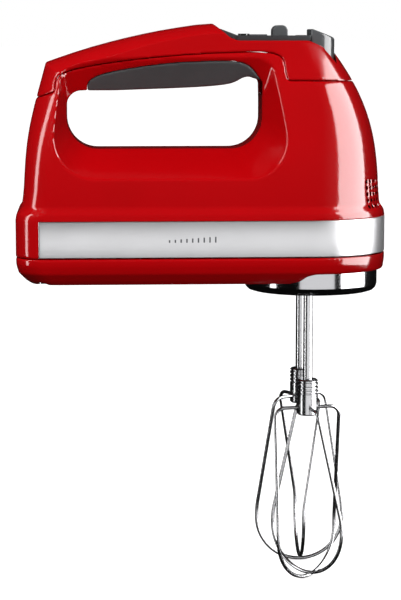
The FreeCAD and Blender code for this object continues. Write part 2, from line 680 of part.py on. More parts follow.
def armature_winding():
    """Copper in the rotor's slots, joined by a round coil head at each end."""
    z, rotor = size("motor_z"), size("rotor_radius")
    rear, front = size("stack_rear_x"), size("stack_front_x")
    low, high = 0.64 * rotor, 0.90 * rotor
    head = 6.5
    bars = []
    for i in range(ROTOR_SLOTS):
        bar = box(rear, front, -1.1, 1.1, z + low, z + high)
        bar.rotate(Vec(0, 0, z), Vec(1, 0, 0), 360 / ROTOR_SLOTS * i)
        bars.append(bar)
    rings = []
    for x in (rear - head, front):
        ring = rod(0.72 * rotor, Vec(x, 0, z), head, Vec(1, 0, 0))
        rings.append(ring.cut(rod(size("shaft_radius"), Vec(x - 1, 0, z), head + 2, Vec(1, 0, 0))))
    return rings[0].multiFuse(rings[1:] + bars)


shaped("armature_winding", armature_winding())

commutator = start_body("commutator", "commutator_x", "0", "motor_z")
padded(commutator, "copper_bars", "YZ_Plane", "commutator_length", ("0", "0", "commutator_radius"),
       ("0", "0", "shaft_radius"))
doc.recompute()
groove = pocketed(commutator, "bar_gap", "YZ_Plane", "commutator_length",
                  box_corners("-0.3", "0.3", "commutator_radius - 1.2", "commutator_radius - 0.4"),
                  reverse=True)
around(commutator, groove, ROTOR_SLOTS)

fan = start_body("cooling_fan", "fan_x", "0", "motor_z")
padded(fan, "fan_disc", "YZ_Plane", "1.6", ("0", "0", "fan_radius"), ("0", "0", "shaft_radius"))
padded(fan, "fan_hub", "YZ_Plane", "fan_width", ("0", "0", "shaft_radius + 3.5"),
       ("0", "0", "shaft_radius"))
doc.recompute()
blade = padded(fan, "fan_blade", "YZ_Plane", "fan_width - 1", [
    ("-0.7", "shaft_radius + 3"), ("0.7", "shaft_radius + 3"), ("3.7", "fan_radius - 0.5"),
    ("2.3", "fan_radius - 0.5")])
around(fan, blade, 11)

# the fixed field: a laminated ring with two slots for each of its two coils
SLOT_IN, SLOT_OUT, SLOT_HIGH = "(0.74 * stator_bore)", "(0.66 * stator_radius)", "(0.62 * stator_radius)"
TIE_Y = "(stator_radius - 5)"
field = start_body("field_core", "stack_rear_x", "0", "motor_z")
padded(field, "field_ring", "YZ_Plane", "stack_length", ("0", "0", "stator_radius"),
       ("0", "0", "stator_bore"))
doc.recompute()
coil_slots = [box_corners(*sorted_pair, *heights)
              for sorted_pair in ((SLOT_IN, SLOT_OUT), ("-" + SLOT_OUT, "-" + SLOT_IN))
              for heights in ((SLOT_IN, SLOT_HIGH), ("-" + SLOT_HIGH, "-" + SLOT_IN))]
pocketed(field, "coil_slots", "YZ_Plane", "stack_length", *coil_slots, reverse=True)
doc.recompute()
pocketed(field, "tie_holes", "YZ_Plane", "stack_length", (TIE_Y, "0", "screw_radius"),
         ("-" + TIE_Y, "0", "screw_radius"), reverse=True)

for label, level in (("upper_field_coil", "motor_z + " + SLOT_IN + " + fit_gap"),
                     ("lower_field_coil", "motor_z - " + SLOT_HIGH + " + fit_gap")):
    coil = start_body(label, "stack_centre_x", "0", level)
    reach, inner = "(stack_length / 2 + 6)", "(stack_length / 2 + 0.4)"
    wide, narrow = "(" + SLOT_OUT + " - fit_gap)", "(" + SLOT_IN + " + fit_gap)"
    padded(coil, label + "_turns", "XY_Plane", SLOT_HIGH + " - " + SLOT_IN + " - 2 * fit_gap",
           box_corners("-" + reach, reach, "-" + wide, wide),
           box_corners("-" + inner, inner, "-" + narrow, narrow))

for label, x in (("front_bracket", "front_bracket_x"), ("rear_bracket", "rear_bracket_x")):
    bracket = start_body("motor_" + label, x, "0", "motor_z")
    padded(bracket, label + "_bar", "YZ_Plane", "bracket_thickness",
           box_corners("-stator_radius + 1", "stator_radius - 1", "-bush_radius - 3", "bush_radius + 3"),
           ("0", "0", "bush_radius"), (TIE_Y, "0", "screw_radius"), ("-" + TIE_Y, "0", "screw_radius"))
    middle = x + " + bracket_thickness / 2"
    on_motor_axis(label.replace("bracket", "bearing"), [
        (middle + " - bush_length / 2", "shaft_radius + running_gap"),
        (middle + " - bush_length / 2", "bush_radius - 1.5"),
        (middle + " - bracket_thickness / 2", "bush_radius"),
        (middle + " + bracket_thickness / 2", "bush_radius"),
        (middle + " + bush_length / 2", "bush_radius - 1.5"),
        (middle + " + bush_length / 2", "shaft_radius + running_gap")])

BRUSH_X = "(commutator_x + commutator_length / 2)"
for label, sign in (("upper", 1), ("lower", -1)):
    near, far = ("commutator_radius + 1.5", "stator_radius - 3")
    if sign < 0:
        near, far = "-stator_radius + 3", "-commutator_radius - 1.5"
    holder = start_body(label + "_brush_holder", BRUSH_X, "0", "motor_z")
    padded(holder, label + "_holder_tube", "XY_Plane", "stator_radius - commutator_radius - 4.5",
           box_corners("-brush_width / 2 - 6", "brush_width / 2 + 1.5", "-brush_width / 2 - 1.5",
                       "brush_width / 2 + 1.5"),
           box_corners("-brush_width / 2", "brush_width / 2", "-brush_width / 2", "brush_width / 2"))
    holder.setExpression("Placement.Base.z", formula("motor_z + " + near))
    brush = start_body(label + "_brush", BRUSH_X, "0", "motor_z")
    half = "(brush_width / 2 - running_gap)"
    padded(brush, label + "_carbon", "XY_Plane", "12",
           box_corners("-" + half, half, "-" + half, half))
    touch = "commutator_radius + running_gap" if sign > 0 else "-commutator_radius - running_gap - 12"
    brush.setExpression("Placement.Base.z", formula("motor_z + " + touch))

RING_OUT = "(stator_radius + mount_ring_thickness)"
on_motor_axis("rear_mount_ring", ring_outline(
    "stator_radius", RING_OUT, "stack_rear_x", "stack_rear_x + mount_ring_width", "X"))
on_motor_axis("front_mount_ring", ring_outline(
    "stator_radius", RING_OUT, "stack_front_x - mount_ring_width", "stack_front_x", "X"))


def screw(radius, head_radius, head_height, length, at, way):
    """A screw whose head's underside is at `at` and whose shank points along `way`."""
    shank = rod(radius, at, length, way)
    head = rod(head_radius, at - way * head_height, head_height, way)
    recess = rod(head_radius * 0.45, at - way * head_height, head_height * 0.5, way)
    return shank.fuse(head).cut(recess)


def motor_screws():
    """Two long screws through the brackets and the field core."""
    front = size("front_bracket_x") + size("bracket_thickness")
    length = front - size("rear_bracket_x")
    tie = size(TIE_Y)
    return Part.makeCompound([screw(size("screw_radius"), 2.8, 2.0, length,
                                    Vec(front, side * tie, size("motor_z")), Vec(-1, 0, 0))
                              for side in (-1, 1)])


shaped("motor_screws", motor_screws())


# ---------------------------------------------------------------- worm drive
MODULE = size("gear_module")
PITCH = math.pi * MODULE
LEAD = PITCH * size("worm_starts")
PRESSURE = math.radians(20)
ADDENDUM = 0.9 * MODULE
DEDENDUM = 1.2 * MODULE


def drive_worm():
    """The two-start worm: trapezium threads swept along a helix round a core."""
    radius = size("worm_pitch_radius")
    core, length = radius - DEDENDUM, size("worm_length")
    turns_behind = math.ceil(length / LEAD / 2 + 1)
    start = -turns_behind * LEAD
    half_pitch_width = PITCH / 4 - size("backlash") / 4
    spread = math.tan(PRESSURE)
    tip = half_pitch_width - ADDENDUM * spread
    foot = half_pitch_width + (DEDENDUM + 0.2) * spread
    solids = [Part.makeCylinder(core, length, Vec(0, 0, -length / 2))]
    for thread in range(int(size("worm_starts"))):
        shift = start + thread * PITCH
        helix = Part.makeHelix(LEAD, 2 * turns_behind * LEAD, radius)
        helix.translate(Vec(0, 0, shift))
        corners = [Vec(core - 0.2, 0, shift - foot), Vec(radius + ADDENDUM, 0, shift - tip),
                   Vec(radius + ADDENDUM, 0, shift + tip), Vec(core - 0.2, 0, shift + foot)]
        ridge = Part.Wire(helix).makePipeShell([Part.makePolygon(corners + corners[:1])], True, True)
        inside = Part.makeCylinder(radius + 2, length, Vec(0, 0, -length / 2))
        solids.append(ridge.common(inside))
    worm = solids[0].multiFuse(solids[1:])
    worm = worm.cut(Part.makeCylinder(size("shaft_radius"), length + 2, Vec(0, 0, -length / 2 - 1)))
    turn = FreeCAD.Rotation(Vec(0, 1, 0), Vec(0, 0, 1), Vec(1, 0, 0), "ZXY")
    worm.Placement = FreeCAD.Placement(Vec(size("spindle_x"), 0, size("motor_z")), turn)
    return worm


def wheel_outline(z, twist):
    """The level outline of a worm wheel's teeth, with involute flanks."""
    teeth, radius = int(size("wheel_teeth")), size("wheel_pitch_radius")
    base = radius * math.cos(PRESSURE)
    tip, root = radius + ADDENDUM, radius - DEDENDUM

    def half_angle(at):
        """Half the tooth's angle at a radius."""
        at = max(at, base)
        def involute(r):
            lean = math.acos(base / r)
            return math.tan(lean) - lean
        thickness = (math.pi * MODULE / 2 - size("backlash") / 2) / radius
        return thickness / 2 + involute(radius) - involute(at)

    corners = []
    for tooth in range(teeth):
        centre = (tooth + 0.5) * 2 * math.pi / teeth + twist
        flank = [(r, half_angle(r)) for r in (root, base, radius, (radius + tip) / 2, tip)]
        turns = [(r, -a) for r, a in flank] + [(r, a) for r, a in reversed(flank)]
        corners += [Vec(r * math.cos(centre + a), r * math.sin(centre + a), z) for r, a in turns]
    return Part.makePolygon(corners + corners[:1])


def drive_wheel(side):
    """A helical worm wheel; the gap between two of its teeth faces the worm."""
    width = size("wheel_width")
    twist = width * math.tan(math.atan(LEAD / (2 * math.pi * size("worm_pitch_radius"))))
    twist /= size("wheel_pitch_radius")
    facing = -side * math.pi / 2
    wires = [wheel_outline(share * width / 2, share * twist / 2 + facing) for share in (-1, 0, 1)]
    wheel = Part.makeLoft(wires, True, True)
    wheel = wheel.cut(rod(size("spindle_radius"), Vec(0, 0, -width), 2 * width))
    wheel.translate(Vec(size("spindle_x"), side * size("spindle_y"), size("motor_z")))
    return wheel


shaped("drive_worm", drive_worm())
for name, side in (("left", 1), ("right", -1)):
    across = "spindle_y" if side > 0 else "-spindle_y"
    shaped(name + "_drive_wheel", drive_wheel(side))
    turned(name + "_spindle", ring_outline("stem_radius + running_gap", "spindle_radius",
                                           "spindle_bottom_z", "spindle_top_z"),
           x="spindle_x", y=across)
    turned(name + "_bush", [
        ("spindle_radius + running_gap", "case_floor_z - 1.2"), ("8.0", "case_floor_z - 1.2"),
        ("8.0", "case_floor_z + case_wall"), ("10.0", "case_floor_z + case_wall"),
        ("10.0", "case_floor_z + case_wall + 2"), ("spindle_radius + running_gap",
                                                   "case_floor_z + case_wall + 2")],
           x="spindle_x", y=across)
    turned(name + "_ejector_pin", [
        ("0", "stem_top_z + running_gap"), ("pin_radius", "stem_top_z + running_gap"),
        ("pin_radius", "pin_top_z - 2"), ("pin_head_radius", "pin_top_z - 2"),
        ("pin_head_radius", "pin_top_z"), ("0", "pin_top_z")], x="spindle_x", y=across)

CASE_SCREW_SPOTS = [(x, y) for x in ("-26", "26") for y in ("-16.5", "16.5")]
THRUST_X = "(shaft_front_x + 2.6)"


def gear_case():
    """The cup that holds both wheels, with the shaft's front seat and four screw bosses."""
    radius, wall = size("case_radius"), size("case_wall")
    x, z, top = size("spindle_x"), size("motor_z"), size("case_top_z")
    floor = size("case_floor_z")
    cup = rod(radius, Vec(x, 0, floor), top - floor)
    cup = cup.cut(rod(radius - wall, Vec(x, 0, floor + wall), top - floor))
    front = size("shaft_front_x")
    seat = rod(6.5, Vec(front - 5, 0, z), radius, Vec(1, 0, 0))
    pillar = box(front - 5, front + 40, -2, 2, floor + wall, z)
    parts = [seat, pillar]
    parts += [rod(3.2, Vec(x + size(u), size(v), floor), top - floor) for u, v in CASE_SCREW_SPOTS]
    parts = [part.common(rod(radius - 0.1, Vec(x, 0, floor), top - floor)) for part in parts]
    cup = cup.multiFuse(parts)
    holes = [rod(size("screw_radius") - 0.3, Vec(x + size(u), size(v), top - 9), 20)
             for u, v in CASE_SCREW_SPOTS]
    holes += [rod(8.0, Vec(x, side * size("spindle_y"), floor - 5), 10) for side in (-1, 1)]
    journal = size("shaft_radius") + size("running_gap")
    holes.append(rod(journal, Vec(front - 20, 0, z), 20 + size(THRUST_X) - front, Vec(1, 0, 0)))
    holes.append(rod(size("shaft_radius") + 1, Vec(x - radius - 5, 0, z), radius, Vec(1, 0, 0)))
    return largest(cup.cut(Part.makeCompound(holes)))


shaped("gear_case", gear_case())
on_motor_axis("thrust_pad", ring_outline("0", "shaft_radius - 0.1", "shaft_front_x + running_gap",
                                         THRUST_X, "X"))

lid = start_body("gear_case_lid", "spindle_x", "0", "case_top_z")
lid_holes = [("0", "spindle_y", "spindle_radius + running_gap"),
             ("0", "-spindle_y", "spindle_radius + running_gap")]
lid_holes += [(u, v, "screw_radius - 0.3") for u, v in CASE_SCREW_SPOTS]
padded(lid, "lid_plate", "XY_Plane", "lid_thickness", ("0", "0", "case_radius"), *lid_holes)


def case_screws():
    """Four small screws that hold the lid on the gear case."""
    x, top = size("spindle_x"), size("lid_top_z")
    return Part.makeCompound([screw(size("screw_radius") - 0.3, 2.6, 1.6, 10,
                                    Vec(x + size(u), size(v), top), Vec(0, 0, -1))
                              for u, v in CASE_SCREW_SPOTS])


def housing_screws():
    """Four screws that hold the base cover to the motor housing's bosses."""
    return Part.makeCompound([screw(size("screw_radius"), SCREW_HEAD_RADIUS, 2.2, SEAM_Z + 12 - BASE_Z,
                                    Vec(x, y, BASE_Z + 3), Vec(0, 0, 1)) for x, y in screw_spots()])


shaped("gear_case_screws", case_screws())
shaped("housing_screws", housing_screws())

# ---------------------------------------------------------------- eject parts
eject = start_body("eject_button")
FRONT_X = "(eject_rear_x + eject_length)"
padded(eject, "eject_block", "XZ_Plane", "eject_width", [
    ("eject_rear_x", "panel_z - 15"), (FRONT_X, "panel_z - 15"), (FRONT_X, "panel_z + 0.4"),
    ("eject_rear_x + 0.88 * eject_length", "panel_z + 2.4"),
    ("eject_rear_x + 0.5 * eject_length", "panel_z + 5.2"),
    ("eject_rear_x + 0.1 * eject_length", "panel_z + 6.6"), ("eject_rear_x", "panel_z + 6.0")],
       middle=True)
plunger = start_body("ejector_plunger")
padded(plunger, "plunger_blade", "XZ_Plane", "5", [
    ("eject_rear_x + 3", "panel_z - 15"), ("eject_rear_x + 3", "panel_z - 24"),
    ("spindle_x - 3", "panel_z - 32"), ("spindle_x - 3", "bar_z"), ("spindle_x + 3", "bar_z"),
    ("spindle_x + 3", "panel_z - 33"), ("eject_rear_x + 9", "panel_z - 25"),
    ("eject_rear_x + 9", "panel_z - 15")], middle=True)
padded(plunger, "plunger_bar", "XZ_Plane", "2 * spindle_y + 9", box_corners(
    "spindle_x - 3.2", "spindle_x + 3.2", "bar_z", "bar_z + 4"), middle=True)


def ejector_spring():
    """The coil spring between the gear case's lid and the plunger's bar."""
    low, high = size("lid_top_z") + 0.6, size("bar_z") - 0.6
    turns = 5
    helix = Part.makeHelix((high - low) / turns, high - low, 4.2)
    wire = Part.Wire(Part.makeCircle(0.5, Vec(4.2, 0, 0), Vec(0, 1, 0)))
    coil = Part.Wire(helix).makePipeShell([wire], True, True)
    coil.translate(Vec(size("spindle_x"), 0, low))
    return coil


shaped("ejector_spring", ejector_spring())

# ---------------------------------------------------------------- control panel
panel = start_body("control_panel", "0", "0", "panel_z")
SWITCH_X = "(panel_rear_x + 24)"
DOWN_X = "(panel_rear_x + 4.3)"
UP_X = "(panel_rear_x + 12.3)"
LENS_X = "(panel_rear_x + 36)"
padded(panel, "panel_plate", "XY_Plane", "panel_height",
       box_corners("panel_rear_x", "panel_front_x", "-panel_half_width", "panel_half_width"),
       (DOWN_X, "0", "2.6 + button_gap"),
       box_corners(UP_X + " - 4.2", UP_X + " + 4.2", "-4.5", "4.5"),
       box_corners(SWITCH_X + " - 2.4", SWITCH_X + " + 2.4 + switch_travel", "-2.4", "2.4"),
       box_corners(LENS_X + " - 2.5", LENS_X + " + 2.5", "-8", "8"))
doc.recompute()
lens = start_body("display_lens", LENS_X, "0", "panel_z + 0.6")
padded(lens, "lens_plate", "XY_Plane", "panel_height - 0.4", box_corners("-2.4", "2.4", "-7.9", "7.9"))

BOARD_Z = "(panel_z - 5.4)"
board = start_body("control_board", "panel_rear_x", "0", BOARD_Z)
padded(board, "board_plate", "XY_Plane", "1.6", box_corners("1", "32", "-10", "10"))
turned("speed_down_button", [
    ("0", "panel_z - 1.6"), ("3.2", "panel_z - 1.6"), ("3.2", "panel_z - 0.4"),
    ("2.6", "panel_z - 0.4"), ("2.6", "panel_top_z + 0.6"), ("2.2", "panel_top_z + 1"),
    ("0", "panel_top_z + 1")], x=DOWN_X)
up_button = start_body("speed_up_button", UP_X, "0", "panel_z - 1.6")
padded(up_button, "up_flange", "XY_Plane", "1.2", box_corners("-4.6", "4.6", "-5.6", "5.6"))
padded(up_button, "up_cap", "XY_Plane", "panel_height + 2.4", box_corners("-3.8", "3.8", "-4.1", "4.1"))


def key_switches():
    """The two small switches on the board, one under each speed button."""
    low = size(BOARD_Z + " + 1.6")
    cans = [box(size(x) - 2.8, size(x) + 2.8, -2.8, 2.8, low, low + 0.8) for x in (DOWN_X, UP_X)]
    return Part.makeCompound(cans)


shaped("key_switches", key_switches())
knob = start_body("power_switch")
padded(knob, "switch_tab", "XZ_Plane", "16", [
    (SWITCH_X + " - 4", "panel_top_z + 0.1"), (SWITCH_X + " + 4", "panel_top_z + 0.1"),
    (SWITCH_X + " + 4", "panel_top_z + 2.2"), (SWITCH_X + " + 3", "panel_top_z + 4.6"),
    (SWITCH_X + " + 1.2", "panel_top_z + 5.6"), (SWITCH_X + " - 1.2", "panel_top_z + 5.6"),
    (SWITCH_X + " - 3", "panel_top_z + 4.6"), (SWITCH_X + " - 4", "panel_top_z + 2.2")], middle=True)
padded(knob, "switch_neck", "XZ_Plane", "4", box_corners(
    SWITCH_X + " - 2", SWITCH_X + " + 2", "panel_z - 1", "panel_top_z + 0.5"), middle=True)
slide = start_body("slide_switch", SWITCH_X, "0", BOARD_Z + " + 1.6")
padded(slide, "slide_can", "XY_Plane", "2.6", box_corners("-5", "9", "-3.5", "3.5"))
capacitor = start_body("filter_capacitor", "rear_x + 17", "4", "base_z + wall + band_thickness + fit_gap")
padded(capacitor, "capacitor_case", "XY_Plane", "15", box_corners("0", "17", "0", "9"))


# ---------------------------------------------------------------- beaters
def bent(near, corner, far, radius):
    """The two ends and the middle of an arc that rounds a corner."""
    first, second = (near - corner).normalize(), (far - corner).normalize()
    half_angle = first.getAngle(second) / 2
    inward = (first + second).normalize()
    middle = corner + inward * (radius / math.sin(half_angle) - radius)
    reach = radius / math.tan(half_angle)
    return corner + first * reach, middle, corner + second * reach


def beater_loop(leave, turn, rise):
    """One wire from side to side of the hub: out, down to its widest and round the foot.

    It leaves the hub in one direction and is widest in another, so each side leans round the axis.
    """
    wire, shoulder, big = size("wire_radius"), size("shoulder_radius"), size("loop_radius")
    exit_z = size("hub_bottom_z + wire_rise")
    centre_z = size("hub_bottom_z - loop_centre_drop") + rise

    def across(angle, radius, z):
        angle = math.radians(angle)
        return Vec(radius * math.cos(angle), radius * math.sin(angle), z)

    start, corner = across(leave, size("stem_radius + wire_root"), exit_z), across(leave, shoulder, exit_z)
    widest, foot = across(turn, big, centre_z + size("widest_rise")), Vec(0, 0, centre_z - big)
    bend = bent(start, corner, widest, size("shoulder_bend"))
    swing = bent(corner, widest, across(turn, big, centre_z - big), size("widest_bend"))
    half = [Part.LineSegment(start, bend[0]), Part.Arc(*bend), Part.LineSegment(bend[2], swing[0]),
            Part.Arc(*swing), Part.LineSegment(swing[2], across(turn, big, centre_z))]
    edges = [piece.toShape() for piece in half]
    far_edges = [edge.rotated(Vec(0, 0, 0), Vec(0, 0, 1), 180) for edge in reversed(edges)]
    round_foot = Part.Arc(across(turn, big, centre_z), foot, across(turn, -big, centre_z)).toShape()
    path = Part.Wire(Part.__sortEdges__(edges + [round_foot] + far_edges))
    section = Part.Wire(Part.makeCircle(wire, start, corner - start))
    return path.makePipeShell([section], True, False)


def beater(name, side, turn):
    """A stem, a grooved hub and two crossed wire loops."""
    y = side * size("spindle_y")
    across = "spindle_y" if side > 0 else "-spindle_y"
    turned(name + "_beater_stem", [
        ("0", "hub_bottom_z + 1"), ("stem_radius", "hub_bottom_z + 1"),
        ("stem_radius", "stem_top_z - 1"), ("stem_radius - 1", "stem_top_z"), ("0", "stem_top_z")],
           x="spindle_x", y=across)
    step = 2 * size("wire_radius") + 0.2
    leave = turn + side * size("loop_lean")
    loops = [beater_loop(leave, turn, 0.0), beater_loop(leave + 90, turn + 90, step)]
    low, high, radius = size("hub_bottom_z"), size("hub_top_z"), size("hub_radius")
    corners = [(0, low), (radius - 0.8, low), (radius, low + 0.8)]
    for ring in range(4):
        groove = high - 8.4 + ring * 2.1
        corners += [(radius, groove), (radius - 0.7, groove + 0.3), (radius - 0.7, groove + 0.8),
                    (radius, groove + 1.1)]
    corners += [(radius, high - 0.8), (radius - 0.8, high), (0, high)]
    points = [Vec(r, 0, z) for r, z in corners]
    hub = Part.Face(Part.makePolygon(points + points[:1])).revolve(Vec(0, 0, 0), Vec(0, 0, 1), 360)
    hub = hub.cut(rod(size("stem_radius"), Vec(0, 0, low + 1), 90)).cut(Part.makeCompound(loops))
    pieces = {"_beater_hub": hub, "_beater_loop_a": loops[0], "_beater_loop_b": loops[1]}
    for suffix, shape in pieces.items():
        shape.translate(Vec(size("spindle_x"), y, 0))
        shaped(name + suffix, shape)


beater("left", 1, 0.0)
beater("right", -1, 45.0)

# ---------------------------------------------------------------- check and write
doc.recompute()
for item in doc.Objects:
    if "Invalid" in item.State or "Error" in item.State:
        raise RuntimeError(f"{item.Label} failed: {item.State}")
for node in NODES:
    if node.Shape.isNull() or not node.Shape.isValid() or not node.Shape.Solids:
        raise RuntimeError(f"{node.Label} has no sound shape")
os.makedirs("parts", exist_ok=True)
for node in NODES:
    node.Shape.exportStep(f"parts/{node.Label}.step")
print(len(NODES), "pieces written")
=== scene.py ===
# %% [markdown]
# # A hand mixer, built around its CAD frame
#
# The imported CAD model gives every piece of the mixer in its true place.  This lesson dresses that frame:
# it rebuilds the visible pieces with soft edges and fine detail, gives each a procedural finish, and
# sets up a pale studio.  All lengths are metres and all places come from the frame.

# %% Load the frame
import bmesh
import bpy
import json
import math
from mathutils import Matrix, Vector


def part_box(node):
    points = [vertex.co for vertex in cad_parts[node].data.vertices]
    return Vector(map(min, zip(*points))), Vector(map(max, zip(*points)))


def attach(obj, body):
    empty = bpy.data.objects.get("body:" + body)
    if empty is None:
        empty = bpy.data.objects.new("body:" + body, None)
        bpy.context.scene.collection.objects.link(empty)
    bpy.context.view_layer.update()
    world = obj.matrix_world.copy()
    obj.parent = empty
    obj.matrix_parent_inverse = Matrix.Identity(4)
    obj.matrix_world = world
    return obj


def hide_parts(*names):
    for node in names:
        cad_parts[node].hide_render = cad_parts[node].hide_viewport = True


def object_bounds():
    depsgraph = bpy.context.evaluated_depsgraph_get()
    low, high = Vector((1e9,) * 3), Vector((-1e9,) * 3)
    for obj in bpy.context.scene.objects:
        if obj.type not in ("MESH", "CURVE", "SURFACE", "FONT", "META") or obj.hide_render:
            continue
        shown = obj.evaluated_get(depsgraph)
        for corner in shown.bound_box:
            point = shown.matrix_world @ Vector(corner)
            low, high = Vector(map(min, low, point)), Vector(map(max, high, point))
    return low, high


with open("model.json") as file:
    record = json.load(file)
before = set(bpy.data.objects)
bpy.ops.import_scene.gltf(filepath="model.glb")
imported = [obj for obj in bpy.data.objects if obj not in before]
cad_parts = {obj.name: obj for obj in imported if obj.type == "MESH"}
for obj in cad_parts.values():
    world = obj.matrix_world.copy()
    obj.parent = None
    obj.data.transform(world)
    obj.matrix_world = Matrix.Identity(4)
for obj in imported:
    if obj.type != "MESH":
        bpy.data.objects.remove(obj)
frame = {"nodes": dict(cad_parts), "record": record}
cad_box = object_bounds()
MM = 0.001

# %% [markdown]
# ## Measures read from the frame
#
# A box of a CAD node gives its lowest and highest corner at rest.  Reading them here, once, keeps the
# pieces in step with the frame: if the CAD grows, so does everything below.

# %% Read the boxes that the pieces are placed by
BAND_LOW, BAND_HIGH = (Vector(corner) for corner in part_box("trim_band"))
PANEL_LOW, PANEL_HIGH = (Vector(corner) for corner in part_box("control_panel"))
EJECT_LOW, EJECT_HIGH = (Vector(corner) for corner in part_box("eject_button"))
print("band height, mm:", round((BAND_HIGH.z - BAND_LOW.z) / MM, 1))

# %% [markdown]
# ## Working like a modeller
#
# Every operator acts on what is selected, and the imported nodes start out selected.  These helpers
# clear the selection, take one object in hand, and pick faces or edges by a test on their place.

# %% Helpers for selecting and for edit mode
def take(piece):
    """Select this one object and make it the active one."""
    bpy.ops.object.select_all(action="DESELECT")
    piece.select_set(True)
    bpy.context.view_layer.objects.active = piece
    return piece


def name_new(label):
    """Name the object that an operator has just added."""
    piece = bpy.context.object
    piece.name = piece.data.name = label
    return take(piece)


def pick(piece, test, kind="FACE"):
    """In edit mode, select the faces or edges that pass a test on their middle and their normal."""
    bpy.ops.mesh.select_mode(type=kind)
    mesh = bmesh.from_edit_mesh(piece.data)
    bpy.ops.mesh.select_all(action="DESELECT")
    if kind == "FACE":
        for face in mesh.faces:
            face.select_set(test(face.calc_center_median(), face.normal))
    else:
        for edge in mesh.edges:
            middle = (edge.verts[0].co + edge.verts[1].co) / 2
            along = (edge.verts[1].co - edge.verts[0].co).normalized()
            edge.select_set(test(middle, along))
    mesh.select_flush_mode()
    bmesh.update_edit_mesh(piece.data)


def edit(on=True):
    bpy.ops.object.mode_set(mode="EDIT" if on else "OBJECT")


def apply(piece, kind, **settings):
    """Add a modifier, set it and apply it."""
    take(piece)
    modifier = piece.modifiers.new(kind.title(), kind)
    for word, value in settings.items():
        setattr(modifier, word, value)
    bpy.ops.object.modifier_apply(modifier=modifier.name)


def settle(piece, angle=35):
    """Put the object's place into its mesh and shade it smooth up to a crease angle."""
    take(piece)
    bpy.ops.object.transform_apply(location=True, rotation=True, scale=True)
    bpy.ops.object.shade_smooth_by_angle(angle=math.radians(angle))
    return piece


def place(piece, body, slot, *nodes):
    """Let the piece ride on a body and stand for CAD nodes; the slot is not used."""
    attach(piece, body)
    if nodes:
        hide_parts(*nodes)
    print(piece.name, len(piece.data.polygons), "faces on", body)
    return piece


# %% [markdown]
# ## Shared effects for the finishes
#
# Several finishes need the same small effects: a very faint waviness on moulded plastic, a fine stipple
# on soft rubber, hairlines on brushed metal, and handling marks that change the gloss.  Each is a node
# group, built once, that puts out only a mask or a height.

# %% Node groups for the shared effects
def new_group(label, inputs, outputs):
    """An empty shader node group with float inputs and outputs, and its two end nodes."""
    group = bpy.data.node_groups.new(label, "ShaderNodeTree")
    for word, value in inputs.items():
        socket = group.interface.new_socket(word, in_out="INPUT", socket_type="NodeSocketFloat")
        socket.default_value = value
    for word in outputs:
        group.interface.new_socket(word, in_out="OUTPUT", socket_type="NodeSocketFloat")
    return group, group.nodes.new("NodeGroupInput"), group.nodes.new("NodeGroupOutput")


def stretched_noise(group, stretch, detail=3.0):
    """A noise in Object coordinates, stretched by a scale for each axis."""
    place_node = group.nodes.new("ShaderNodeTexCoord")
    mapping = group.nodes.new("ShaderNodeMapping")
    mapping.inputs["Scale"].default_value = stretch
    noise = group.nodes.new("ShaderNodeTexNoise")
    noise.inputs["Detail"].default_value = detail
    group.links.new(place_node.outputs["Object"], mapping.inputs["Vector"])
    group.links.new(mapping.outputs["Vector"], noise.inputs["Vector"])
    return noise


def build_marks():
    """Handling marks: a soft, uneven mask between 0 and 1 times a strength, added to a base value."""
    group, source, result = new_group("handling_marks", {"Scale": 60.0, "Base": 0.1, "Strength": 0.05},
                                      ["Value"])
    noise = stretched_noise(group, (1, 1, 1), 6.0)
    group.links.new(source.outputs["Scale"], noise.inputs["Scale"])
    scaled = group.nodes.new("ShaderNodeMath")
    scaled.operation = "MULTIPLY_ADD"
    group.links.new(noise.outputs["Fac"], scaled.inputs[0])
    group.links.new(source.outputs["Strength"], scaled.inputs[1])
    group.links.new(source.outputs["Base"], scaled.inputs[2])
    group.links.new(scaled.outputs[0], result.inputs["Value"])
    return group


def build_grain(label, stretch, detail):
    """A height that follows a stretched noise, for grain, stipple or hairlines."""
    group, source, result = new_group(label, {"Scale": 1000.0}, ["Height"])
    noise = stretched_noise(group, stretch, detail)
    group.links.new(source.outputs["Scale"], noise.inputs["Scale"])
    group.links.new(noise.outputs["Fac"], result.inputs["Height"])
    return group


MARKS = build_marks()
STIPPLE = build_grain("rubber_stipple", (1, 1, 1), 2.0)
HAIRLINES = build_grain("brushed_hairlines", (0.012, 0.012, 1), 2.0)
print("groups:", MARKS.name, STIPPLE.name, HAIRLINES.name)

# %% [markdown]
# ## The finishes
#
# A finish is a Principled shader whose even values sit on its own sockets.  What changes over the
# surface, such as the gloss where hands have been or the grain, comes from the groups above.

